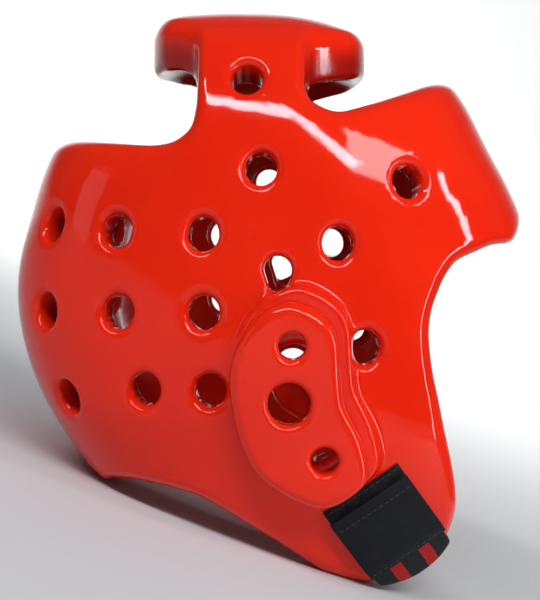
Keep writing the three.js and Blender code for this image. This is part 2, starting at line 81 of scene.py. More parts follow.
# The ear pads and the raised seats under them.
EAR_PAD_HEIGHT = 89.5
EAR_PAD_WIDTH = 60.0
EAR_PAD_THICKNESS = 11.0
EAR_PAD_ROUND = 4.9
EAR_PAD_CROWN = 0.9
EAR_PAD_CROWN_REACH = 24.0
EAR_PAD_GAP = 0.1
EAR_HOLE_ROUND = 3.0
EAR_PAD_CENTRE = (1.8, -0.5)
EAR_PAD_LEAN = math.radians(4)
BOSS_RISE = 1.5
BOSS_REACH = 2.0
BOSS_SHIFT = (3.0, 4.0)
BOSS_ROUND = 3.0
BOSS_FILLET = 3.5
SEAT_ROUND = 0.8

# The room round the ear in which those shapes are worked out: half its length and half its height, where it
# starts from the middle plane, and the distance that is given outside it.
EAR_ROOM_AHEAD = 58.0
EAR_ROOM_UP = 72.0
EAR_ROOM_START = 52.0
OUTSIDE_EAR_ROOM = 25.0

# The chin strap, its pile patch and its label; the strap's top is in the shares of the outlines below.
STRAP_WIDTH = 38.0
STRAP_THICKNESS = 1.8
STRAP_DIRECTION = math.radians(-55.7)
STRAP_TOP = (0.1169, -0.2153)
STRAP_TURN = 5.0
STRAP_START_RIGHT = 6.0
STRAP_START_LEFT = 1.0
STRAP_STEP_DOWN = 6.0
PATCH_WIDTH = 40.0
PATCH_THICKNESS = 1.4
PATCH_LENGTH = 32.0
LABEL_WIDTH = 40.0
LABEL_THICKNESS = 1.1
LABEL_START = 5.0
LABEL_LENGTH = 34.0
STRAP_SAG = 1.6
BAND_END_SHARE = 0.5

# How far each layer is lifted off the one under it, and the room between the patch and the strap.
PATCH_LIFT = 0.05
PATCH_PLAY = 0.1
STRAP_LIFT = 0.15
LABEL_LIFT = 0.2

# The sewing: how far its rows lie inside the edges, the puckers by the label's upper seam, with their turn in
# radians a millimetre, the crossed box, and the thread.
PATCH_SEAM_TOP = 1.5
PATCH_SEAM_INSET = 1.6
LABEL_SEAM_TOP = 5.0
LABEL_SEAM_BOTTOM = 2.0
LABEL_SEAM_INSET = 1.2
PUCKER_HEIGHT = 0.12
PUCKER_REACH = 2.5
PUCKER_TURN = 0.9
BOX_TOP = 3.0
BOX_BOTTOM = 27.0
BOX_INSET = 3.5
BOX_LIFT = 0.2
THREAD_RADIUS = 0.32
STITCH_PITCH = 3.0
STITCH_GAP = 0.7

# The room left round the strap and its patch, and a length that reaches past every edge of the shell.
CLEARANCE = 0.3
BEYOND = 200.0

# How far ahead the tipped guard is moved, so that the origin is under its middle.
STANDING_SHIFT = 29.41
MILLIMETRE = 0.001

OUTLINE_STEPS = 3
CROWN_PAD_STEPS = 4
SHELL_NET = 2.08
EAR_PAD_NET = 0.95

# Rows are (ahead, above, foam): ahead in shares of the shell's length, above of the crown's height, and the
# foam there in shares of the crown's.
FORM_OUTLINE = [
    (-0.256, 0.983, 1.0), (-0.172, 0.999, 1.0), (-0.092, 1.0, 1.0), (0.007, 0.992, 1.0),
    (0.097, 0.957, 1.0), (0.205, 0.892, 1.0), (0.299, 0.81, 1.03), (0.366, 0.652, 1.05),
    (0.411, 0.538, 1.05), (0.44, 0.442, 1.0), (0.452, 0.328, 0.95), (0.449, 0.174, 0.85),
    (0.43, -0.046, 0.75), (0.403, -0.264, 0.7), (0.354, -0.454, 0.68), (0.265, -0.605, 0.68),
    (0.127, -0.685, 0.68), (-0.03, -0.686, 0.68), (-0.185, -0.606, 0.7), (-0.306, -0.442, 0.75),
    (-0.399, -0.23, 0.78), (-0.448, -0.124, 0.8), (-0.493, -0.018, 0.8), (-0.529, 0.12, 0.8),
    (-0.543, 0.258, 0.8), (-0.534, 0.367, 0.8), (-0.512, 0.477, 0.8), (-0.482, 0.604, 0.82),
    (-0.426, 0.734, 0.88), (-0.353, 0.86, 0.95),
]
# Rows are (ahead, above) in the same shares.
FACE_RIM = [
    (0.437, 0.437), (0.409, 0.391), (0.364, 0.383), (0.334, 0.368), (0.294, 0.344), (0.272, 0.308),
    (0.258, 0.268), (0.246, 0.221), (0.241, 0.161), (0.248, 0.074), (0.26, -0.001), (0.272, -0.078),
    (0.286, -0.157), (0.296, -0.224), (0.3, -0.277), (0.295, -0.32), (0.283, -0.367), (0.262, -0.409),
    (0.223, -0.45), (0.181, -0.471), (0.136, -0.479),
]
LOWER_RIM = [
    (0.015, -0.409), (-0.039, -0.356), (-0.099, -0.304), (-0.161, -0.253), (-0.2, -0.233), (-0.251, -0.218),
    (-0.301, -0.212), (-0.336, -0.217),
]
REAR_FOOT = (-0.378, -0.227)
JAW_FOOT = (0.072, -0.453)
REAR_FOOT_LENGTH = 8.6
JAW_FOOT_LENGTH = 12.9
REAR_TOP_RIM = [
    (-0.476, 0.655), (-0.427, 0.653), (-0.356, 0.644), (-0.279, 0.634), (-0.243, 0.634), (-0.215, 0.644),
    (-0.192, 0.669), (-0.181, 0.693), (-0.173, 0.729),
]
FRONT_TOP_RIM = [
    (0.292, 0.819), (0.252, 0.799), (0.212, 0.775), (0.155, 0.745), (0.1, 0.721), (0.082, 0.716),
    (0.064, 0.719), (0.043, 0.731), (0.024, 0.748),
]
# Rows are (across in shares of the half width, share of the reach behind the necks, share of that in front).
CROWN_PAD_OUTLINE = [
    (0.0, 1.0, 1.0), (0.13, 0.98, 0.985), (0.23, 0.91, 0.945), (0.32, 0.8, 0.87), (0.39, 0.67, 0.76),
    (0.44, 0.5, 0.62), (0.49, 0.32, 0.44), (0.53, 0.2, 0.27), (0.57, 0.11, 0.13), (0.63, 0.035, 0.035),
    (0.72, 0.0, 0.0),
]
VENTS = [
    (-0.087, 0.803), (-0.06, 0.575), (0.206, 0.544), (0.078, 0.39), (-0.164, 0.412), (-0.323, 0.421),
    (-0.45, 0.437), (-0.162, 0.219), (-0.319, 0.219), (-0.462, 0.217), (-0.15, 0.028), (-0.27, 0.026),
    (-0.421, -0.004), (0.127, 0.134),
]
KEYHOLE = (-0.03, 0.323)
# Rows are (ahead in shares of the pad's width, above in shares of its height), from its centre.
EAR_PAD_OUTLINE = [
    (-0.13, 0.5), (-0.295, 0.44), (-0.43, 0.32), (-0.5, 0.17), (-0.49, 0.02), (-0.43, -0.16),
    (-0.32, -0.315), (-0.16, -0.41), (0.06, -0.485), (0.225, -0.498), (0.39, -0.44), (0.5, -0.36),
    (0.5, -0.27), (0.445, -0.145), (0.335, 0.0), (0.308, 0.155), (0.29, 0.32), (0.2, 0.43), (0.01, 0.505),
]
# Rows are (ahead, above) as above and the hole's radius.
EAR_HOLES = [(-0.048, 0.301, 6.0), (-0.069, 0.018, 9.4), (0.189, -0.26, 6.0)]


# Curves and distances

def side_view(rows):
    """Places in the side view, in millimetres."""
    return np.array([(ahead * SHELL_LENGTH, above * CROWN_HEIGHT) for ahead, above in rows])


def ease(share):
    share = np.clip(share, 0, 1)
    return share * share * (3 - 2 * share)


def curved(u, first, slope_in, second, slope_out):
    """A share of the way along the cubic that leaves the first value and meets the second at these slopes."""
    return (
        (2 * u**3 - 3 * u**2 + 1) * first + (u**3 - 2 * u**2 + u) * slope_in
        + (3 * u**2 - 2 * u**3) * second + (u**3 - u**2) * slope_out
    )


def unit(directions):
    return directions / np.linalg.norm(directions, axis=-1, keepdims=True)


def flowing(points, per_gap, closed=False):
    """A smooth line through points, with so many steps in each gap."""
    points = np.asarray(points, float)
    count = len(points)
    gaps = count if closed else count - 1
    if closed:
        before, after = points[np.arange(gaps) - 1], points[(np.arange(gaps) + 2) % count]
    else:
        before = points[np.maximum(np.arange(gaps) - 1, 0)]
        after = points[np.minimum(np.arange(gaps) + 2, count - 1)]
    first, second = points[:gaps], points[(np.arange(gaps) + 1) % count]
    slope_in, slope_out = (second - before) / 2, (after - first) / 2
    steps = [curved(u, first, slope_in, second, slope_out) for u in np.arange(per_gap) / per_gap]
    line = np.stack(steps, 1).reshape(-1, points.shape[1])
    return line if closed else np.vstack([line, points[-1:]])


def from_outline(a, b, outline):
    """Signed distance from a closed outline in a plane: below zero inside."""
    shape = np.broadcast(a, b).shape
    nearest = np.full(shape, np.inf)
    inside = np.zeros(shape, bool)
    for (a0, b0), (a1, b1) in zip(outline, np.roll(outline, -1, 0)):
        run_a, run_b = a1 - a0, b1 - b0
        if run_a == 0 and run_b == 0:
            continue
        off_a, off_b = a - a0, b - b0
        share = np.clip((off_a * run_a + off_b * run_b) / (run_a**2 + run_b**2), 0, 1)
        nearest = np.minimum(nearest, (off_a - share * run_a) ** 2 + (off_b - share * run_b) ** 2)
        if run_b != 0:
            straddles = (b >= b0) != (b >= b1)
            inside ^= straddles & (off_a < off_b * run_a / run_b)
    return np.where(inside, -1, 1) * np.sqrt(nearest)


def shared(first, second, rounding):
    """What lies in both, with a rounded edge where they meet."""
    over_first, over_second = np.maximum(first + rounding, 0), np.maximum(second + rounding, 0)
    return np.minimum(np.maximum(first, second), -rounding) + np.hypot(over_first, over_second)


def without(body, tool, rounding):
    return shared(body, -tool, rounding)


def joined(first, second, fillet):
    return -shared(-first, -second, fillet)


# The form

BEARING_STEPS = 4096
EASED_OVER = math.radians(1.6)


def round_the_ear(column):
    """One column of the outline over the bearings round the ear axis, as a smooth closed curve that is eased
    over a small angle."""
    places = side_view([row[:2] for row in FORM_OUTLINE])
    bearings = np.arctan2(places[:, 1], places[:, 0]) % (2 * math.pi)
    order = np.argsort(bearings)
    if column == "reach":
        values = np.hypot(places[:, 0], places[:, 1])
    else:
        values = CROWN_FOAM * np.array(FORM_OUTLINE)[:, 2]
    at, value = bearings[order], values[order]
    at = np.concatenate([at[-2:] - 2 * math.pi, at, at[:2] + 2 * math.pi])
    value = np.concatenate([value[-2:], value, value[:2]])
    slope = np.gradient(value, at)
    slope[1:-1] = (value[2:] - value[:-2]) / (at[2:] - at[:-2])
    wanted = np.arange(BEARING_STEPS) / BEARING_STEPS * 2 * math.pi
    gap = np.clip(np.searchsorted(at, wanted, side="right") - 1, 0, len(at) - 2)
    span = at[gap + 1] - at[gap]
    u = (wanted - at[gap]) / span
    curve = curved(u, value[gap], slope[gap] * span, value[gap + 1], slope[gap + 1] * span)
    waves = np.fft.rfft(curve)
    kept = np.exp(-0.5 * (np.arange(len(waves)) * EASED_OVER) ** 2)
    return np.fft.irfft(waves * kept, BEARING_STEPS)


REACH = round_the_ear("reach")
FOAM = round_the_ear("foam")


def read_bearing(table, bearing):
    place = (bearing / (2 * math.pi)) % 1 * BEARING_STEPS
    low = np.floor(place).astype(int)
    share = place - low
    return table[low % BEARING_STEPS] * (1 - share) + table[(low + 1) % BEARING_STEPS] * share


def width_at(x, z):
    jaw = 1 - JAW_TAPER * ease(-z / JAW_TAPER_REACH)
    brow = 1 - BROW_TAPER * ease(x / BROW_TAPER_REACH)
    return HALF_WIDTH * jaw * brow


class Form:
    """The closed form, inset by a share of the foam: 0 is its outside and 1 its inside."""

    def __init__(self, inset):
        self.reach = REACH - inset * FOAM
        self.narrow = (HALF_WIDTH - inset * SIDE_FOAM) / HALF_WIDTH

    def share(self, x, y, z):
        """How far out a place is in the form: 1 on its face."""
        ring = np.hypot(x, z) / read_bearing(self.reach, np.arctan2(z, x))
        across = np.abs(y) / (self.narrow * width_at(x, z))
        return (ring**BOXINESS + across**BOXINESS) ** (1 / BOXINESS)

    def distance(self, x, y, z):
        """Signed distance from the form's face: the share past it, divided by how steeply the share grows."""
        here, step, least = self.share(x, y, z), 0.4, 2e-3
        slope_x = (self.share(x + step, y, z) - self.share(x - step, y, z)) / (2 * step)
        slope_y = (self.share(x, np.abs(y) + step, z) - here) / step
        slope_z = (self.share(x, y, z + step) - self.share(x, y, z - step)) / (2 * step)
        return (here - 1) / np.maximum(np.sqrt(slope_x**2 + slope_y**2 + slope_z**2), least)


OUTSIDE = Form(0)
INSIDE = Form(1)


def outer_face(x, z):
    """How far the shell's outer face lies from the middle plane, at a place in the side view."""
    share = np.minimum(np.hypot(x, z) / read_bearing(REACH, np.arctan2(z, x)), 1)
    return width_at(x, z) * (1 - share**BOXINESS) ** (1 / BOXINESS)


def outward(x, z):
    """The outward direction there, with y counted away from the middle plane."""
    step = 0.5
    slope_x = (outer_face(x + step, z) - outer_face(x - step, z)) / (2 * step)
    slope_z = (outer_face(x, z + step) - outer_face(x, z - step)) / (2 * step)
    return unit(np.stack(np.broadcast_arrays(-slope_x, 1.0, -slope_z), -1))


# The shell

# The strap's run on the jaw, in the side view: its start, and the directions down it and across it to the
# front.
strap_origin, = side_view([STRAP_TOP])
strap_down = np.array([math.cos(STRAP_DIRECTION), math.sin(STRAP_DIRECTION)])
strap_ahead = np.array([-strap_down[1], strap_down[0]])
DOWN = np.array([strap_down[0], 0.0, strap_down[1]])

rear_ground, jaw_ground = side_view([REAR_FOOT, JAW_FOOT])
ground_line = unit(jaw_ground - rear_ground)
face_rim = flowing(side_view(FACE_RIM), OUTLINE_STEPS)
jaw_rim = np.vstack([face_rim, jaw_ground + ground_line * JAW_FOOT_LENGTH / 2])


def face_and_neck_outline():
    """In the side view, all that is open in front of the shell and under it."""
    return np.vstack([
        [(BEYOND, face_rim[0][1])],
        jaw_rim,
        [jaw_ground - ground_line * JAW_FOOT_LENGTH / 2],
        flowing(side_view(LOWER_RIM), OUTLINE_STEPS),
        [rear_ground + ground_line * REAR_FOOT_LENGTH / 2, rear_ground - ground_line * BEYOND],
        [(-2 * BEYOND, -BEYOND), (BEYOND, -BEYOND)],
    ])


def top_opening_outlines(towards):
    """The side view and the plan of the opening behind the crown pad (-1) or in front of it (1)."""
    rim = flowing(side_view(REAR_TOP_RIM if towards < 0 else FRONT_TOP_RIM), OUTLINE_STEPS)
    neck = NECK_CENTRE + towards * NECK_WIDTH / 2
    side = np.vstack([
        [(towards * BEYOND, rim[0][1])],
        rim,
        [(neck, rim[-1][1] + NECK_WIDTH / 8), (neck, 2 * CROWN_HEIGHT), (towards * BEYOND, 2 * CROWN_HEIGHT)],
    ])
    reach = CROWN_PAD_REAR if towards < 0 else CROWN_PAD_FRONT
    edge = flowing(
        [(neck + towards * (rear if towards < 0 else front) * reach, across * HALF_WIDTH)
         for across, rear, front in CROWN_PAD_OUTLINE], CROWN_PAD_STEPS,
    )
    plan = np.vstack([
        [(towards * BEYOND, -BEYOND), (neck - towards, -BEYOND)],
        edge[:0:-1] * (1, -1),
        edge,
        [(neck - towards, BEYOND), (towards * BEYOND, BEYOND)],
    ])
    return side, plan


FACE_AND_NECK = face_and_neck_outline()
TOP_OPENINGS = [top_opening_outlines(-1), top_opening_outlines(1)]
EAR_OUTLINE = flowing(
    [(ahead * EAR_PAD_WIDTH, above * EAR_PAD_HEIGHT) for ahead, above in EAR_PAD_OUTLINE], OUTLINE_STEPS,
    closed=True,
)
# The ear pad's own axes start from the face of its boss and run ahead, up and out of the head, with y counted
# from the middle plane.
EAR_OUT = np.array([0, math.cos(EAR_PAD_LEAN), -math.sin(EAR_PAD_LEAN)])
EAR_UP = np.array([0, math.sin(EAR_PAD_LEAN), math.cos(EAR_PAD_LEAN)])
EAR_PLACE = np.array([EAR_PAD_CENTRE[0], HALF_WIDTH + BOSS_RISE, EAR_PAD_CENTRE[1]])


def vent_axes():
    """Each vent's mouth and its axes: out of the shell, across it and up it."""
    axes = []
    for x, z in side_view(VENTS):
        out = outward(x, z)
        across = unit(np.cross((0, 0, 1), out))
        axes.append((np.array([x, outer_face(x, z), z]), out, across, np.cross(out, across)))
    return axes


VENT_AXES = vent_axes()


def along(axis, x, y, z):
    return axis[0] * x + axis[1] * y + axis[2] * z


def vent_bore(vent, x, y, z):
    mouth, out, across, up = vent
    x, y, z = x - mouth[0], y - mouth[1], z - mouth[2]
    depth = along(out, x, y, z)
    bore = np.hypot(along(across, x, y, z), along(up, x, y, z) / VENT_STRETCH) - VENT_RADIUS
    return np.maximum(bore, np.maximum(depth - VENT_REACH_OUT, -VENT_REACH_IN - depth))


def keyhole_bore(x, y, z):
    """A drop whose tail runs down to the ear pad."""
    (top_x, top_z), = side_view([KEYHOLE])
    tail = EAR_PAD_CENTRE[1] + EAR_PAD_HEIGHT / 2 + BOSS_REACH
    share = np.clip((top_z - z) / (top_z - tail), 0, 1)
    radius = KEYHOLE_RADIUS + (KEYHOLE_TAIL - KEYHOLE_RADIUS) * share
    drop = np.hypot(x - top_x - share, z - (top_z + (tail - top_z) * share)) - radius
    return np.maximum(drop, HALF_WIDTH / 2 - y)


def ear_axes(x, y, z):
    x, y, z = x - EAR_PLACE[0], y - EAR_PLACE[1], z - EAR_PLACE[2]
    return x + 0 * y, along(EAR_UP, x, y, z), along(EAR_OUT, x, y, z)


def near_ear(x, y, z, shape_distance):
    """A distance that is worked out only near the ear, because it is costly."""
    x, y, z = (part.ravel() for part in np.broadcast_arrays(x, y, z))
    distance = np.full(x.shape, OUTSIDE_EAR_ROOM)
    near = (np.abs(x - EAR_PLACE[0]) < EAR_ROOM_AHEAD) & (np.abs(z - EAR_PLACE[2]) < EAR_ROOM_UP)
    near &= y > EAR_ROOM_START
    distance[near] = shape_distance(*ear_axes(x[near], y[near], z[near]))
    return distance


def boss(ahead, up, out):
    edge = from_outline(ahead - BOSS_SHIFT[0], up - BOSS_SHIFT[1], EAR_OUTLINE) - BOSS_REACH
    return shared(edge, np.abs(out + SIDE_FOAM / 2) - SIDE_FOAM / 2, BOSS_ROUND)


def ear_opening(ahead, up, out):
    edge = from_outline(ahead, up, EAR_OUTLINE * EAR_OPENING_SHARE)
    return np.maximum(edge, np.abs(out) - EAR_OPENING_REACH)


def strap_seat(x, y, z):
    """The stretch of the jaw where the strap and its patch lie: the boss is cut away over it."""
    off_x, off_z = x - strap_origin[0], z - strap_origin[1]
    down = off_x * strap_down[0] + off_z * strap_down[1]
    across = off_x * strap_ahead[0] + off_z * strap_ahead[1]
    beside = np.abs(across) - PATCH_WIDTH / 2 - CLEARANCE
    return np.maximum(np.maximum(-CLEARANCE - down, beside), outer_face(x, z) - y)


def shell_distance(x, y, z):
    """Signed distance from the shell's skin, alike on both sides."""
    y = np.abs(y)
    shape = np.broadcast(x, y, z).shape
    shell = np.maximum(OUTSIDE.distance(x, y, z), -INSIDE.distance(x, y, z))
    shell = without(shell, from_outline(x, z, FACE_AND_NECK), RIM_ROUND)
    for side, plan in TOP_OPENINGS:
        opening = shared(from_outline(x, z, side), from_outline(x, y, plan), NECK_FILLET)
        shell = without(shell, opening, TOP_RIM_ROUND)
    for vent in VENT_AXES:
        shell = without(shell, vent_bore(vent, x, y, z), VENT_ROUND)
    shell = without(shell, keyhole_bore(x, y, z), KEYHOLE_ROUND)
    seated_boss = without(near_ear(x, y, z, boss).reshape(shape), strap_seat(x, y, z), SEAT_ROUND)
    shell = joined(shell, seated_boss, BOSS_FILLET)
    return without(shell, near_ear(x, y, z, ear_opening).reshape(shape), EAR_OPENING_ROUND)


def ear_pad_distance(ahead, up, out):
    """Signed distance from an ear pad's skin, in the ear's own axes."""
    edge = from_outline(ahead, up, EAR_OUTLINE)
    half = EAR_PAD_THICKNESS / 2
    middle = EAR_PAD_GAP + half
    crowned = EAR_PAD_CROWN * ease(-edge / EAR_PAD_CROWN_REACH) - EAR_PAD_CROWN / 2
    slab = np.maximum(out - middle - half - crowned, middle - half - out)
    pad = shared(edge, slab, EAR_PAD_ROUND)
    for hole_ahead, hole_up, radius in EAR_HOLES:
        hole = np.hypot(ahead - hole_ahead * EAR_PAD_WIDTH, up - hole_up * EAR_PAD_HEIGHT) - radius
        pad = without(pad, hole, EAR_HOLE_ROUND)
    return pad


# Skins, which are meshes laid on those distances

def lay_net(values, low, step):
    """Corners and four-sided faces of a net over the zero of a grid of distances."""
    inside = values < 0
    cells = tuple(n - 1 for n in values.shape)
    corners = [(i, j, k) for i in (0, 1) for j in (0, 1) for k in (0, 1)]

    def corner(grid, offset):
        return grid[tuple(slice(o, o + n) for o, n in zip(offset, cells))]

    held = sum(corner(inside, offset).astype(np.int8) for offset in corners)
    mixed = (held > 0) & (held < 8)
    number = np.full(cells, -1)
    number[mixed] = np.arange(mixed.sum())
    total, crossings = np.zeros((mixed.sum(), 3)), np.zeros(mixed.sum())
    for axis in range(3):
        for offset in corners:
            if offset[axis]:
                continue
            end = tuple(o + (n == axis) for n, o in enumerate(offset))
            first, last = corner(values, offset)[mixed], corner(values, end)[mixed]
            crosses = (first < 0) != (last < 0)
            place = np.tile(np.array(offset, float), (len(first), 1))
            place[:, axis] += np.where(crosses, first / np.where(crosses, first - last, 1), 0)
            total += place * crosses[:, None]
            crossings += crosses
    cell = np.argwhere(mixed)
    points = low + step * (cell + total / crossings[:, None])
    faces = []
    for axis in range(3):
        after, beyond_it = (axis + 1) % 3, (axis + 2) % 3
        window = [slice(1, n) for n in cells]
        window[axis] = slice(0, cells[axis])
        ahead_window = list(window)
        ahead_window[axis] = slice(1, cells[axis] + 1)
        start, end = inside[tuple(window)], inside[tuple(ahead_window)]

        def around(back_after, back_beyond):
            place = list(window)
            for which, back in ((after, back_after), (beyond_it, back_beyond)):
                place[which] = slice(1 - back, cells[which] - back)
            return number[tuple(place)]

        ring = np.stack([around(1, 1), around(0, 1), around(0, 0), around(1, 0)], -1)
        faces += [ring[start & ~end], ring[end & ~start][:, ::-1]]
    return points, np.vstack(faces)


def slopes(distance, points, step):
    """The distance's slope and its bending at points; bending is above zero on an edge and below it in a
    corner."""
    here = distance(*points.T)
    slope, bending = np.zeros_like(points), np.zeros(len(points))
    for axis in range(3):
        shift = np.zeros(3)
        shift[axis] = step
        forth, back = distance(*(points + shift).T), distance(*(points - shift).T)
        slope[:, axis] = (forth - back) / (2 * step)
        bending += (forth + back - 2 * here) / step**2
    return slope, bending


def settle(distance, points, rounds=3, step=0.2, least=0.05):
    """Moves points onto the zero of a distance, by its slope over a step; the slope's square counts as the
    least or more."""
    for _ in range(rounds):
        here, slope = distance(*points.T), np.zeros_like(points)
        for axis in range(3):
            shift = np.zeros(3)
            shift[axis] = step
            slope[:, axis] = (distance(*(points + shift).T) - here) / step
        points = points - slope * (here / np.maximum((slope**2).sum(1), least))[:, None]
    return points


# The angle that the guard is tipped back by, and the shift that then puts it on the ground over the origin.
TIP = math.atan2(ground_line[1], ground_line[0])
STANDING_RISE = -(math.sin(-TIP) * rear_ground[0] + math.cos(TIP) * rear_ground[1])
STAND = np.array([STANDING_SHIFT, 0.0, STANDING_RISE])


def tipped(directions):
    """Directions as worn, turned as the guard stands."""
    x, y, z = np.moveaxis(np.asarray(directions, float), -1, 0)
    cos, sin = math.cos(-TIP), math.sin(-TIP)
    return np.stack([x * cos - z * sin, y, x * sin + z * cos], -1)


def standing(points):
    """Places as worn, in metres as the guard stands."""
    return (tipped(points) + STAND) * MILLIMETRE


def piece_from(name, points, faces, finish, node=None, normals=None, marks=None):
    """A smooth mesh piece that rides on the guard; marks are numbers kept at its points."""
    mesh = bpy.data.meshes.new(name)
    mesh.from_pydata(points.tolist(), [], [list(face) for face in faces], shade_flat=False)
    for mark, values in (marks or {}).items():
        kept = mesh.attributes.new(mark, "FLOAT", "POINT")
        kept.data.foreach_set("value", np.asarray(values, np.float32).ravel())
    if normals is not None:
        mesh.normals_split_custom_set_from_vertices(normals.tolist())
    mesh.materials.append(finish)
    piece = bpy.data.objects.new(name, mesh)
    bpy.context.scene.collection.objects.link(piece)
    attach(piece, "root")
    if node:
        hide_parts(node)
    return piece


def shell_skin(step):
    """The shell's points, faces and normals as worn, and its marks: how far each point is an edge or a
    corner, and how deep in the foam it lies. The net is laid over the left half, which lies between low and
    high, and over its mirror image."""
    low, high = np.array([-136.0, 0.0, -92.0]), np.array([116.0, 100.0, 188.0])
    counts = np.ceil((high - low) / step).astype(int)
    x, y, z = (low[i] + step * np.arange(counts[i]) for i in range(3))
    half = shell_distance(x[:, None, None], y[None, :, None], z[None, None, :])
    whole = np.concatenate([half[:, :0:-1], half], 1)
    points, faces = lay_net(whole, np.array([low[0], -y[-1], low[2]]), step)
    points = settle(shell_distance, points)
    slope, bending = slopes(shell_distance, points, step=0.5)
    depth = -OUTSIDE.distance(points[:, 0], np.abs(points[:, 1]), points[:, 2])
    return points, faces, unit(slope), {"bending": bending, "depth": depth}


def ear_pad_skin(step):
    """The same for one ear pad, in its own axes."""
    low, high = np.array([-36.0, -51.0, -2.0]), np.array([36.0, 51.0, 15.0])
    counts = np.ceil((high - low) / step).astype(int)
    grid = np.meshgrid(*(low[i] + step * np.arange(counts[i]) for i in range(3)), indexing="ij")
    points, faces = lay_net(ear_pad_distance(*grid), low, step)
    points = settle(ear_pad_distance, points)
    slope, bending = slopes(ear_pad_distance, points, step=0.4)
    return points, faces, unit(slope), {"bending": bending, "depth": np.zeros(len(points))}


# Finishes

class Shade:
    """A socket of a finish that numbers and other sockets can be worked on with."""

    def __init__(self, finish, socket):
        self.finish, self.socket = finish, socket

    def worked(self, operation, *values):
        node = self.finish.node("ShaderNodeMath", {"operation": operation}, dict(enumerate(values)))
        return Shade(self.finish, node.outputs[0])

    def __add__(self, other):
        return self.worked("ADD", self, other)

    def __sub__(self, other):
        return self.worked("SUBTRACT", self, other)

    def __rsub__(self, other):
        return self.worked("SUBTRACT", other, self)

    def __mul__(self, other):
        return self.worked("MULTIPLY", self, other)

    def __abs__(self):
        return self.worked("ABSOLUTE", self)

    def wave(self):
        return self.worked("SINE", self)

    def turns(self, pitch):
        """The angle of a wave that repeats at a pitch."""
        return self * (2 * math.pi / pitch)

    def between(self, low, high):
        """0 at low, 1 at high, and smooth from one to the other."""
        settings = {"interpolation_type": "SMOOTHSTEP", "clamp": True}
        inputs = {"Value": self, "From Min": low, "From Max": high}
        node = self.finish.node("ShaderNodeMapRange", settings, inputs)
        return Shade(self.finish, node.outputs["Result"])

    __radd__, __rmul__ = __add__, __mul__


class Finish:
    """A material on one Principled surface; fixed gives what is the same all over it."""

    def __init__(self, name, **fixed):
        self.material = bpy.data.materials.new(name)
        self.material.use_nodes = True
        self.tree = self.material.node_tree
        self.surface = self.tree.nodes["Principled BSDF"]
        for socket, value in fixed.items():
            self.surface.inputs[socket.replace("_", " ")].default_value = value

    def node(self, kind, settings=None, inputs=None):
        node = self.tree.nodes.new(kind)
        for name, value in (settings or {}).items():
            setattr(node, name, value)
        for name, value in (inputs or {}).items():
            self.put(node.inputs[name], value)
        return node

    def put(self, socket, value):
        if isinstance(value, Shade):
            self.tree.links.new(value.socket, socket)
        else:
            socket.default_value = value

    def place(self):
        return Shade(self, self.node("ShaderNodeTexCoord").outputs["Object"])

    def stretched(self, by):
        node = self.node("ShaderNodeVectorMath", {"operation": "MULTIPLY"}, {0: self.place(), 1: by})
        return Shade(self, node.outputs["Vector"])

    def mark(self, name):
        return Shade(self, self.node("ShaderNodeAttribute", {"attribute_name": name}).outputs["Fac"])

    def noise(self, size, detail=2.0, roughness=0.5, place=None):
        """Soft random patches of a size in metres."""
        place = place or self.place()
        inputs = {"Vector": place, "Scale": 1 / size, "Detail": detail, "Roughness": roughness}
        return Shade(self, self.node("ShaderNodeTexNoise", {}, inputs).outputs[0])

    def cells(self, size):
        """Distance from the nearest of scattered points that are about a size apart."""
        inputs = {"Vector": self.place(), "Scale": 1 / size}
        return Shade(self, self.node("ShaderNodeTexVoronoi", {}, inputs).outputs["Distance"])

    def colours(self, share, first, second):
        """The first colour where the share is 0, the second where it is 1."""
        node = self.node("ShaderNodeMix", {"data_type": "RGBA"}, {0: share, 6: first, 7: second})
        return Shade(self, node.outputs[2])

    def relief(self, height):
        """Bumps of a height in metres."""
        node = self.node("ShaderNodeBump", {}, {"Height": height, "Distance": 1.0, "Strength": 1.0})
        self.put(self.surface.inputs["Normal"], Shade(self, node.outputs["Normal"]))

    def feed(self, **fed):
        for socket, value in fed.items():
            self.put(self.surface.inputs[socket.replace("_", " ")], value)
        return self.material


def rgb(red, green, blue):
    return (red, green, blue, 1.0)


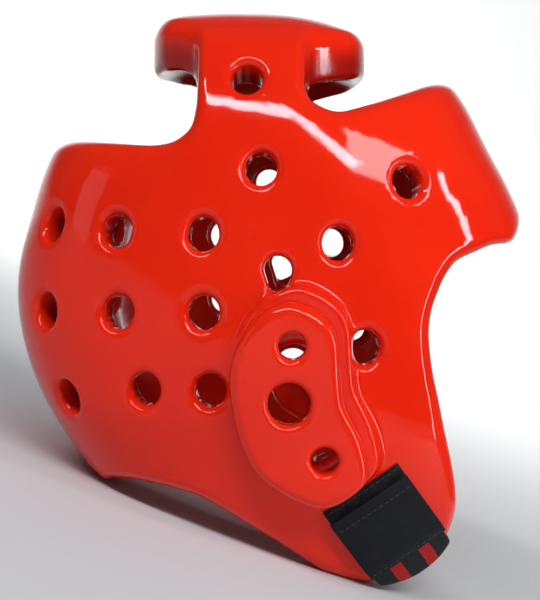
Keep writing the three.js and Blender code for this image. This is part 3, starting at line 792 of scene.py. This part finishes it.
def dipped_vinyl():
    """The glossy red skin: uneven where the dip ran, with pinholes, scuffs and rubbed edges; painted shade
    darkens it in corners and creases and inside the shell, where it is also duller."""
    skin = Finish("dipped_vinyl", IOR=1.34, Coat_Roughness=0.03, Coat_IOR=1.33)
    edge = skin.mark("bending").between(0.05, 0.3)
    # Corners and creases: a mask for painted shade in the colour, and for a rougher gloss.
    corner = skin.mark("bending").between(-0.06, -0.4)
    # Painted shade mask: 0 near the outer face and 1 from 13 mm deep in the foam; it also dulls the gloss.
    shaded_inside = skin.mark("depth").between(3.0, 13.0)
    drift = skin.noise(0.06, 3.0)
    pores = skin.cells(0.0042)
    pinhole = pores.between(0.09, 0.05) * skin.noise(0.02).between(0.52, 0.6)
    scuffs = skin.noise(0.004, 5.0, 0.7, skin.stretched((1.0, 1.0, 0.12))).between(0.62, 0.8)
    red = skin.colours(drift.between(0.3, 0.7), rgb(0.76, 0.0145, 0.0019), rgb(0.83, 0.0195, 0.0028))
    # Painted shade: corners and creases are darkened, as if shade fell in them.
    red = skin.colours(corner * 0.3, red, rgb(0.55, 0.003, 0.0005))
    # Painted shade: the bores and the inner face are darkened the deeper they lie, as if unlit.
    red = skin.colours(shaded_inside * 0.8, red, rgb(0.26, 0.0016, 0.0003))
    red = skin.colours(edge * skin.noise(0.009, 4.0).between(0.5, 0.8) * 0.3, red, rgb(0.94, 0.03, 0.01))
    red = skin.colours(pinhole * 0.5, red, rgb(0.25, 0.003, 0.001))
    rough = 0.045 + 0.03 * skin.noise(0.02, 3.0) + 0.1 * scuffs * edge + 0.06 * corner + 0.12 * shaded_inside
    ripples = 0.0009 * skin.noise(0.045, 1.0) + 0.00016 * skin.noise(0.012, 2.0)
    grain = 0.0000075 * skin.noise(0.0016, 2.0)
    skin.relief(ripples + grain - 0.00007 * pinhole)
    return skin.feed(Base_Color=red, Roughness=rough, Coat_Weight=0.25 - 0.1 * scuffs)


def black_pile():
    """The fastener's loop pile: short matted loops."""
    pile = Finish("black_loop_pile", Sheen_Weight=0.06, Sheen_Roughness=0.5, Specular_IOR_Level=0.2)
    loops = pile.cells(0.0009)
    tufts = pile.noise(0.003, 3.0)
    colour = pile.colours(tufts.between(0.35, 0.75), rgb(0.004, 0.004, 0.005), rgb(0.016, 0.016, 0.018))
    pile.relief(0.0005 * loops + 0.0005 * tufts)
    return pile.feed(Base_Color=colour, Roughness=0.85 + 0.1 * tufts)


def striped_webbing():
    """Black elastic webbing with two woven red stripes, ribbed along its length. The stripes, ribs and picks
    are in millimetres."""
    stripe_middle, stripe_half, stripe_blur = 7.6, 2.9, 0.15
    rib_pitch, pick_pitch = 1.15, 0.72
    web = Finish("striped_webbing", Sheen_Weight=0.03, Sheen_Roughness=0.4, Specular_IOR_Level=0.2)
    down, across = web.mark("down"), web.mark("across")
    from_middle = abs(abs(across) - stripe_middle)
    stripe = from_middle.between(stripe_half + stripe_blur, stripe_half - stripe_blur)
    ribs = across.turns(rib_pitch).wave()
    picks = (down.turns(pick_pitch) + across.turns(2 * rib_pitch).wave() * 0.6).wave()
    fuzz = web.noise(0.0006, 3.0, 0.7)
    black = web.colours(fuzz, rgb(0.004, 0.004, 0.005), rgb(0.018, 0.018, 0.02))
    red = web.colours(fuzz, rgb(0.34, 0.005, 0.006), rgb(0.52, 0.014, 0.012))
    colour = web.colours(stripe, black, red)
    web.relief(0.00012 * ribs + 0.00007 * picks + 0.00006 * fuzz)
    return web.feed(Base_Color=colour, Roughness=0.62 + 0.2 * fuzz)


def dark_satin():
    """The label's dark woven satin. Its floats and picks are in millimetres."""
    float_pitch, wander_pitch, pick_pitch = 0.34, 0.9, 0.45
    satin = Finish("dark_label_satin", Sheen_Weight=0.02, Sheen_Roughness=0.3, Specular_IOR_Level=0.18)
    down, across = satin.mark("down"), satin.mark("across")
    floats = (across.turns(float_pitch) + down.turns(wander_pitch).wave() * 0.8).wave()
    picks = down.turns(pick_pitch).wave()
    creases = satin.noise(0.007, 3.0)
    fuzz = satin.noise(0.0005, 2.0)
    # Painted sheen: the satin is made lighter where its creases would catch the light.
    painted_sheen = fuzz * creases.between(0.3, 0.7)
    colour = satin.colours(painted_sheen, rgb(0.0025, 0.004, 0.006), rgb(0.007, 0.009, 0.013))
    satin.relief(0.00003 * floats + 0.00002 * picks + 0.0005 * creases)
    return satin.feed(Base_Color=colour, Roughness=0.42 + 0.15 * fuzz)


def thread():
    """Sewing thread of two twisted strands, whose twist is in millimetres."""
    strands, twist_pitch = 2.0, 0.5
    sewn = Finish("sewing_thread", Sheen_Weight=0.1)
    twist = (sewn.mark("down").turns(twist_pitch) + sewn.mark("across") * strands).wave()
    # Painted shade and highlight: darker in the grooves between the strands and lighter on their crests.
    colour = sewn.colours(twist.between(-1.0, 1.0), rgb(0.006, 0.006, 0.007), rgb(0.03, 0.03, 0.034))
    sewn.relief(0.00005 * twist)
    return sewn.feed(Base_Color=colour, Roughness=0.5 + 0.1 * twist)


VINYL = dipped_vinyl()
PILE = black_pile()
WEBBING = striped_webbing()
SATIN = dark_satin()
THREAD = thread()


# The shell and the ear pads

points, faces, normals, marks = shell_skin(SHELL_NET)
shell = piece_from(
    "vinyl_shell", standing(points), faces, VINYL, "foam_shell", tipped(normals), marks
)

points, faces, normals, marks = ear_pad_skin(EAR_PAD_NET)
for side, side_name in ((-1, "right"), (1, "left")):
    turned = np.array([1, side, 1])
    axes = np.stack([(1, 0, 0), EAR_UP, EAR_OUT])
    placed = (points @ axes + EAR_PLACE) * turned
    facing = (normals @ axes) * turned
    laid = faces if side < 0 else faces[:, ::-1]
    pad = piece_from(
        f"ear_cushion_{side_name}", standing(placed), laid, VINYL, f"ear_pad_{side_name}",
        tipped(facing), marks,
    )


# The strap, its patch and its label

def on_jaw(down, across):
    """Places in the side view, from how far down the strap's run they are and how far across it."""
    down, across = np.broadcast_arrays(down, across)
    return strap_origin + down[..., None] * strap_down + across[..., None] * strap_ahead


def rim_under(across):
    """How far down its run the strap meets the jaw's rim."""
    start = on_jaw(0.0, across)
    last = jaw_rim[0] - start
    for corner in jaw_rim[1:]:
        here = corner - start
        side_last, side_here = last @ strap_ahead, here @ strap_ahead
        if side_last * side_here <= 0:
            down = (last @ strap_down * side_here - here @ strap_down * side_last) / (side_here - side_last)
            if down > 0:
                return down
        last = here
    return np.linalg.norm(strap_origin - jaw_rim[-1])


class Run:
    """The strap's run on one side of the jaw: -1 is the right side and 1 the left."""

    def __init__(self, side, across):
        self.side, self.across = side, np.asarray(across, float)
        bottom = np.array([rim_under(a) for a in self.across]) + CLEARANCE
        self.slope = np.arcsin(self.on_face(bottom - STRAP_TURN)[1] @ DOWN)
        self.turn_start = bottom - STRAP_TURN * (1 - np.sin(self.slope))
        self.centre = self.on_face(self.turn_start)[0] - STRAP_TURN * self.facing(self.slope)

    def on_face(self, down):
        """Places on the jaw's face and the outward direction there, one for each place across."""
        x, z = on_jaw(down, self.across).T
        out = outward(x, z) * (1, self.side, 1)
        return np.stack([x, self.side * outer_face(x, z), z], -1), out

    def facing(self, angle):
        return np.cos(angle)[:, None] * np.array([0, self.side, 0]) + np.sin(angle)[:, None] * DOWN

    def round_turn(self, share):
        """Places on the turn under the jaw; share runs from 0 at its start to 1."""
        out = self.facing(self.slope + (math.pi / 2 - self.slope) * share)
        return self.centre + STRAP_TURN * out, out

    def at(self, down):
        """Places at one distance down the run, on the face or on the turn."""
        face, face_out = self.on_face(np.minimum(down, self.turn_start))
        share = (down - self.turn_start) / (STRAP_TURN * (math.pi / 2 - self.slope))
        turn, turn_out = self.round_turn(np.clip(share, 0, 1))
        past = (share > 0)[:, None]
        return np.where(past, turn, face), np.where(past, turn_out, face_out)


def band_section(width, thickness, columns):
    """Round a band's section: places across it, and heights from 0 on its back to its thickness on its
    face."""
    radius = thickness / 2
    reach = width / 2 - radius
    flat = np.linspace(-reach, reach, columns)
    bend = np.linspace(0, math.pi, 7)[1:-1]
    out, over = radius * np.sin(bend), radius * np.cos(bend)
    across = np.concatenate([flat, reach + out, flat[::-1], -reach - out])
    height = np.concatenate([np.full(columns, thickness), radius + over, np.zeros(columns), radius - over])
    return across, height


def band(name, rows, section, downs, finish, node):
    """A band from rows of places, thinner at both ends; each row gives the place and outward direction for
    every place across and how far the band's back is lifted there."""
    across, height = section
    rings = []
    for number, (place, out, lift) in enumerate(rows):
        ends = min(number, len(rows) - 1 - number)
        thin = 1 if ends else BAND_END_SHARE
        middle = height.max() / 2
        rings.append(place + out * (lift + middle + (height - middle) * thin)[:, None])
    points = np.vstack(rings)
    size, count = len(across), len(rings)
    faces = []
    for ring in range(count - 1):
        for i in range(size):
            here, after = ring * size + i, ring * size + (i + 1) % size
            faces.append((here, here + size, after + size, after))
    faces += [tuple(range(size)), tuple(range((count - 1) * size, count * size))[::-1]]
    marks = {"down": np.repeat(downs, size), "across": np.tile(across, count)}
    return piece_from(name, standing(points), faces, finish, node, marks=marks)


def patch_lift(down):
    """How far the strap is lifted where it lies on the patch."""
    past = (down - PATCH_LENGTH - PATCH_THICKNESS) / STRAP_STEP_DOWN
    return (PATCH_THICKNESS + PATCH_PLAY) * (1 - ease(past))


def pile_patch():
    section = band_section(PATCH_WIDTH, PATCH_THICKNESS, columns=41)
    run, level = Run(-1, section[0]), np.ones(len(section[0]))
    downs = np.linspace(0, PATCH_LENGTH, 40)
    rows = [(*run.at(level * down), level * PATCH_LIFT) for down in downs]
    band("pile_patch", rows, section, downs, PILE, "loop_patch")


def webbing_strap():
    """The strap, from its free end on the right jaw over the patch, under the chin and up the left jaw."""
    face_rows, turn_rows, chin_rows = 34, 12, 60
    section = band_section(STRAP_WIDTH, STRAP_THICKNESS, columns=35)
    right, left = Run(-1, section[0]), Run(1, section[0])
    lift = np.full(len(section[0]), STRAP_LIFT)
    rows = []
    for share in np.linspace(0, 1, face_rows)[:-1]:
        down = STRAP_START_RIGHT + (right.turn_start - STRAP_START_RIGHT) * share
        rows.append((*right.on_face(down), patch_lift(down) + STRAP_LIFT))
    turns = np.linspace(0, 1, turn_rows)
    rows += [(*right.round_turn(share), lift) for share in turns]
    right_end, right_out = right.round_turn(1.0)
    left_end = left.round_turn(1.0)[0]
    for share in np.linspace(0, 1, chin_rows)[1:-1]:
        sag = STRAP_SAG * math.sin(math.pi * share) ** 2
        rows.append((right_end + (left_end - right_end) * share + DOWN * sag, right_out, lift))
    rows += [(*left.round_turn(share), lift) for share in turns[::-1]]
    for share in np.linspace(1, 0, face_rows)[1:]:
        down = STRAP_START_LEFT + (left.turn_start - STRAP_START_LEFT) * share
        rows.append((*left.on_face(down), lift))
    middles = np.array([place.mean(0) for place, _, _ in rows])
    downs = np.concatenate([[0], np.cumsum(np.linalg.norm(np.diff(middles, axis=0), axis=1))])
    band("webbing_strap", rows, section, downs, WEBBING, "chin_strap")


def label_lift(down, across):
    """How far the label is lifted on the strap, with little puckers along its upper seam."""
    off_seam = (down - LABEL_START - LABEL_SEAM_TOP) / PUCKER_REACH
    pucker = PUCKER_HEIGHT * np.sin(across * PUCKER_TURN) * np.exp(-(off_seam**2))
    return patch_lift(down) + STRAP_THICKNESS + LABEL_LIFT + pucker


def satin_label():
    section = band_section(LABEL_WIDTH, LABEL_THICKNESS, columns=41)
    run, level = Run(-1, section[0]), np.ones(len(section[0]))
    downs = np.linspace(LABEL_START, LABEL_START + LABEL_LENGTH, 60)
    rows = [(*run.at(level * down), label_lift(level * down, section[0])) for down in downs]
    band("satin_label", rows, section, downs, SATIN, "strap_label")


def sewn_row(name, side, lines, height):
    """Stitches along lines between two places given as (down, across), at a height above the shell; each
    stitch is a short thread that dips at both ends."""
    points, faces, downs, rounds = [], [], [], []
    sides, steps = 6, 7
    for (down_0, across_0), (down_1, across_1) in lines:
        length = math.hypot(down_1 - down_0, across_1 - across_0)
        count = max(1, round(length / STITCH_PITCH))
        for stitch in range(count):
            first = (stitch + STITCH_GAP / STITCH_PITCH / 2) / count
            last = (stitch + 1 - STITCH_GAP / STITCH_PITCH / 2) / count
            share = np.linspace(first, last, steps)
            run = Run(side, across_0 + (across_1 - across_0) * share)
            down = down_0 + (down_1 - down_0) * share
            place, out = run.at(down)
            bow = np.sin(np.linspace(0, math.pi, steps))
            lifted = height(down) if callable(height) else height
            place = place + out * (lifted + THREAD_RADIUS * (0.7 * bow - 0.45))[:, None]
            beside = np.cross(unit(np.gradient(place, axis=0)), out)
            start = len(points)
            for step in range(steps):
                radius = THREAD_RADIUS * (0.45 + 0.55 * bow[step] ** 0.5)
                for i in range(sides):
                    turn = 2 * math.pi * i / sides
                    around = math.cos(turn) * beside[step] + math.sin(turn) * out[step]
                    points.append(place[step] + radius * around)
                    downs.append(share[step] * length)
                    rounds.append(turn)
            for step in range(steps - 1):
                for i in range(sides):
                    at, after = start + step * sides, (i + 1) % sides
                    faces.append((at + i, at + sides + i, at + sides + after, at + after))
            faces.append(tuple(range(start, start + sides)))
            faces.append(tuple(range(start + (steps - 1) * sides, start + steps * sides))[::-1])
    marks = {"down": downs, "across": rounds}
    piece_from(name, standing(np.array(points)), faces, THREAD, marks=marks)


def sewing():
    """The patch is sewn along its top, the label along both ends, and the strap with a crossed box on the
    left jaw."""
    half = LABEL_WIDTH / 2 - LABEL_SEAM_INSET
    top, bottom = LABEL_START + LABEL_SEAM_TOP, LABEL_START + LABEL_LENGTH - LABEL_SEAM_BOTTOM

    def on_label(down):
        return patch_lift(down) + STRAP_THICKNESS + LABEL_THICKNESS + LABEL_LIFT

    sewn_row("label_stitches_top", -1, [((top, -half), (top, half))], on_label)
    sewn_row("label_stitches_bottom", -1, [((bottom, -half), (bottom, half))], on_label)
    edge = PATCH_WIDTH / 2 - PATCH_SEAM_INSET
    patch_seam = [((PATCH_SEAM_TOP, -edge), (PATCH_SEAM_TOP, edge))]
    sewn_row("patch_stitches", -1, patch_seam, PATCH_THICKNESS + PATCH_PLAY)
    top, bottom, half = STRAP_START_LEFT + BOX_TOP, STRAP_START_LEFT + BOX_BOTTOM, STRAP_WIDTH / 2 - BOX_INSET
    corners = [(top, -half), (top, half), (bottom, half), (bottom, -half)]
    box = [(corners[i], corners[j]) for i, j in ((0, 1), (1, 2), (2, 3), (3, 0), (0, 2), (3, 1))]
    sewn_row("strap_stitches_left", 1, box, STRAP_THICKNESS + BOX_LIFT)


pile_patch()
webbing_strap()
satin_label()
sewing()


# Floor, light and camera

def studio():
    """A pale floor that turns up into a wall behind the guard, in metres."""
    reach, wall_foot, turn_radius, turn_steps, wall_top = 9.0, 1.6, 1.2, 12, 5.0
    floor_finish = Finish("pale_floor")
    grain = floor_finish.noise(0.4, 2.0)
    greys = floor_finish.colours(grain, rgb(0.6, 0.6, 0.6), rgb(0.64, 0.64, 0.64))
    floor_finish.feed(Base_Color=greys, Roughness=0.6 + 0.1 * grain)
    mesh = bpy.data.meshes.new("studio_floor")
    profile = [(-reach, 0.0), (wall_foot, 0.0)]
    for step in range(1, turn_steps + 1):
        turn = step / turn_steps * math.pi / 2
        profile.append((wall_foot + turn_radius * math.sin(turn), turn_radius - turn_radius * math.cos(turn)))
    profile.append((wall_foot + turn_radius, wall_top))
    rows = []
    for y, z in profile:
        rows += [(-reach, y, z), (reach, y, z)]
    faces = [(2 * i, 2 * i + 1, 2 * i + 3, 2 * i + 2) for i in range(len(profile) - 1)]
    mesh.from_pydata(rows, [], faces, shade_flat=False)
    mesh.materials.append(floor_finish.material)
    floor = bpy.data.objects.new("studio_floor", mesh)
    bpy.context.scene.collection.objects.link(floor)


# The picture was taken from EYE and aimed at AIM, both as worn. Its height is in pixels, and its scale is in
# millimetres a pixel on the middle plane.
EYE = (5.2, -790.0, 74.2)
AIM = (-12.87, 0.0, 41.28)
PICTURE_HEIGHT = 600
PICTURE_SCALE = 0.495
SENSOR_HEIGHT = 36.0
eye, aim = Vector(standing(EYE)), Vector(standing(AIM))
near = (eye - aim).normalized()
right = Vector(tipped((0, 0, 1))).cross(near).normalized()
up = near.cross(right)


def softbox(name, to_right, upward, towards, width, height, power, tint=(1, 1, 1), lit=aim, spread=180):
    """A rectangular light, in metres and watts, at a place given in the picture's own directions and aimed at
    what it lights; spread is the angle in degrees that its grid lets through."""
    light = bpy.data.lights.new(name, "AREA")
    light.shape, light.size, light.size_y = "RECTANGLE", width, height
    light.energy, light.color, light.spread = power, tint, math.radians(spread)
    lamp = bpy.data.objects.new(name, light)
    lamp.location = aim + right * to_right + up * upward + near * towards
    lamp.rotation_euler = (lit - lamp.location).to_track_quat("-Z", "Y").to_euler()
    bpy.context.scene.collection.objects.link(lamp)


studio()
softbox("sky_strip", -0.1, 1.08, 1.03, 1.7, 0.1, 15.5, (0.84, 0.92, 1.0))
softbox("right_strip", 0.6, 0.0, 0.3, 0.035, 0.6, 1.7, (0.9, 0.95, 1.0))
softbox("key_panel", 0.88, 0.86, 1.22, 0.6, 0.42, 9.0)
softbox("left_panel", -1.35, 0.3, 0.5, 0.4, 0.9, 0.9)
softbox("backdrop_light", 0.0, 1.7, -1.0, 2.8, 0.6, 48, lit=aim - near * 2.4, spread=130)

world = bpy.data.worlds.new("soft_room")
world.use_nodes = True
world.node_tree.nodes["Background"].inputs["Color"].default_value = (0.95, 0.97, 1.0, 1.0)
world.node_tree.nodes["Background"].inputs["Strength"].default_value = 0.1
bpy.context.scene.world = world
bpy.context.scene.view_settings.view_transform = "Standard"

camera_data = bpy.data.cameras.new("picture_camera")
camera_data.sensor_fit = "VERTICAL"
camera_data.sensor_height = SENSOR_HEIGHT
camera_data.lens = SENSOR_HEIGHT * (eye - aim).length / (PICTURE_HEIGHT * PICTURE_SCALE * MILLIMETRE)
camera_data.clip_end = 50.0
camera = bpy.data.objects.new("picture_camera", camera_data)
camera.matrix_world = Matrix.Translation(eye) @ Matrix((right, up, near)).transposed().to_4x4()
bpy.context.scene.collection.objects.link(camera)
bpy.context.scene.camera = camera
